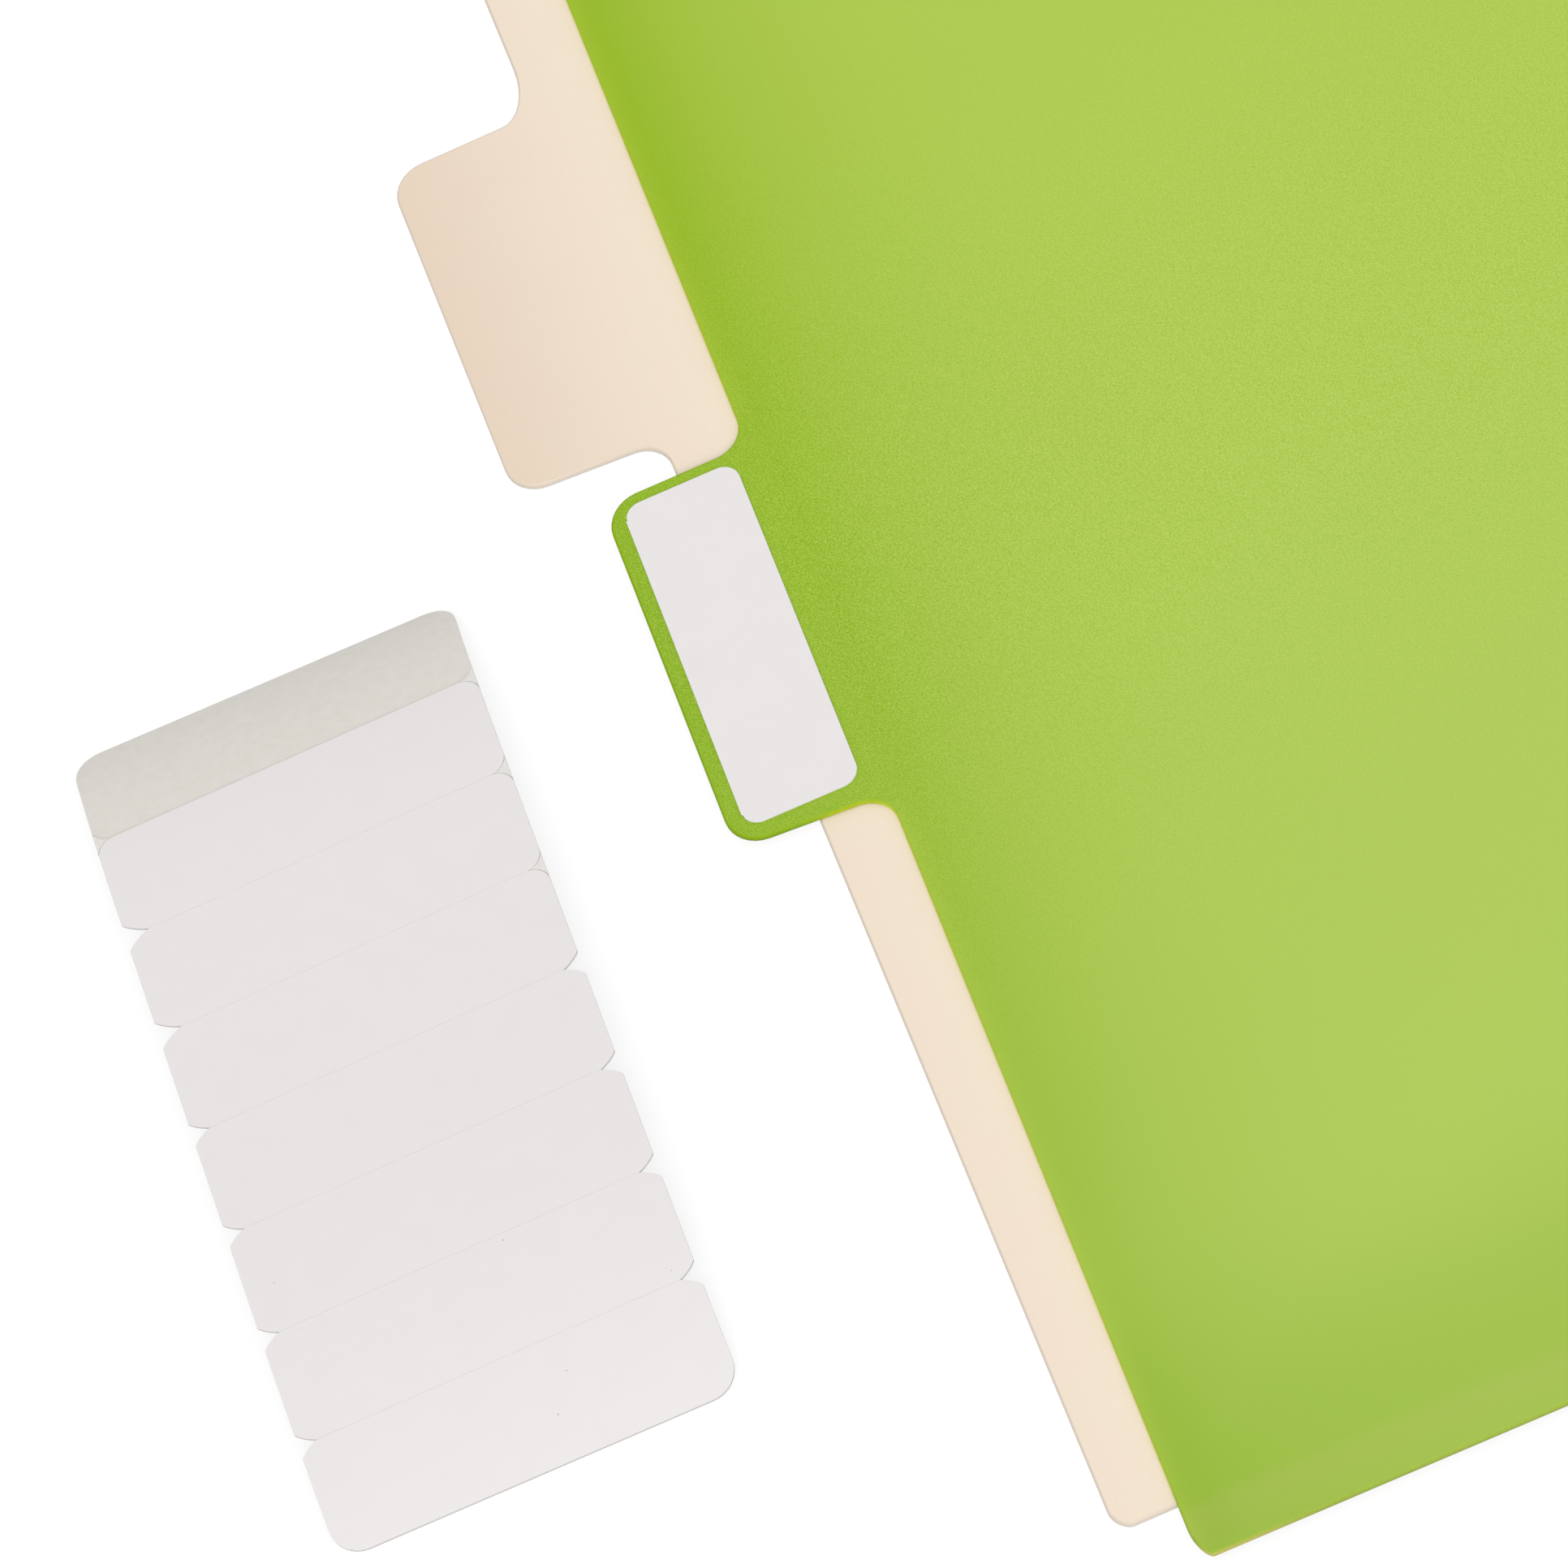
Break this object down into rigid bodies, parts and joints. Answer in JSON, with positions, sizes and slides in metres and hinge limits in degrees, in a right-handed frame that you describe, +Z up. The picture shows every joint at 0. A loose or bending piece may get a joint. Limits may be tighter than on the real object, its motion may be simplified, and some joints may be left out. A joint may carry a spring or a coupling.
{
  "type": "tab divider",
  "caption": "Punched plastic divider leaves with staggered index tabs, a label stuck on one tab and a sheet of spare tab labels beside them.",
  "frame": {"origin": "middle of the lower leaf's underside, tab left out, on the desk", "axes": "+Z up from the desk, +Y along the leaves' long edges towards their upper end, tabs towards -X and ring holes towards +X"},
  "size_m": [0.2766, 0.2869, 0.0032],
  "materials": {
    "buff_leaf": "matte",
    "green_leaf": "matte",
    "label_paper": "matte",
    "release_liner": "satin",
    "scrap_paper": "matte"
  },
  "bodies": {
    "lower_leaf": {"lower_leaf": "buff_leaf"},
    "upper_leaf": {"upper_leaf": "green_leaf", "tab_label": "label_paper"},
    "label_sheet": {"label_liner": "release_liner", "waste_bit_left_1": "scrap_paper", "waste_bit_right_1": "scrap_paper", "waste_bit_right_2": "scrap_paper", "waste_bit_right_3": "scrap_paper"},
    "label_1": {"label_1": "label_paper"},
    "label_2": {"label_2": "label_paper"},
    "label_3": {"label_3": "label_paper"},
    "label_4": {"label_4": "label_paper"},
    "label_5": {"label_5": "label_paper"},
    "label_6": {"label_6": "label_paper"},
    "label_7": {"label_7": "label_paper"}
  },
  "joints": [
    {"name": "upper_leaf_turn", "type": "hinge", "parent": "lower_leaf", "child": "upper_leaf", "pos_m": [0.11424, -0.00751, 0.0006], "axis": [0.0112, 0.9999, 0], "range_deg": [0, 180]},
    {"name": "label_sheet_lift", "type": "slide", "parent": "lower_leaf", "child": "label_sheet", "axis": [0, 0, 1], "range_m": [0, 0.05]},
    {"name": "label_1_peel", "type": "slide", "parent": "label_sheet", "child": "label_1", "axis": [0, 0, 1], "range_m": [0, 0.03]},
    {"name": "label_2_peel", "type": "slide", "parent": "label_sheet", "child": "label_2", "axis": [0, 0, 1], "range_m": [0, 0.03]},
    {"name": "label_3_peel", "type": "slide", "parent": "label_sheet", "child": "label_3", "axis": [0, 0, 1], "range_m": [0, 0.03]},
    {"name": "label_4_peel", "type": "slide", "parent": "label_sheet", "child": "label_4", "axis": [0, 0, 1], "range_m": [0, 0.03]},
    {"name": "label_5_peel", "type": "slide", "parent": "label_sheet", "child": "label_5", "axis": [0, 0, 1], "range_m": [0, 0.03]},
    {"name": "label_6_peel", "type": "slide", "parent": "label_sheet", "child": "label_6", "axis": [0, 0, 1], "range_m": [0, 0.03]},
    {"name": "label_7_peel", "type": "slide", "parent": "label_sheet", "child": "label_7", "axis": [0, 0, 1], "range_m": [0, 0.03]}
  ]
}
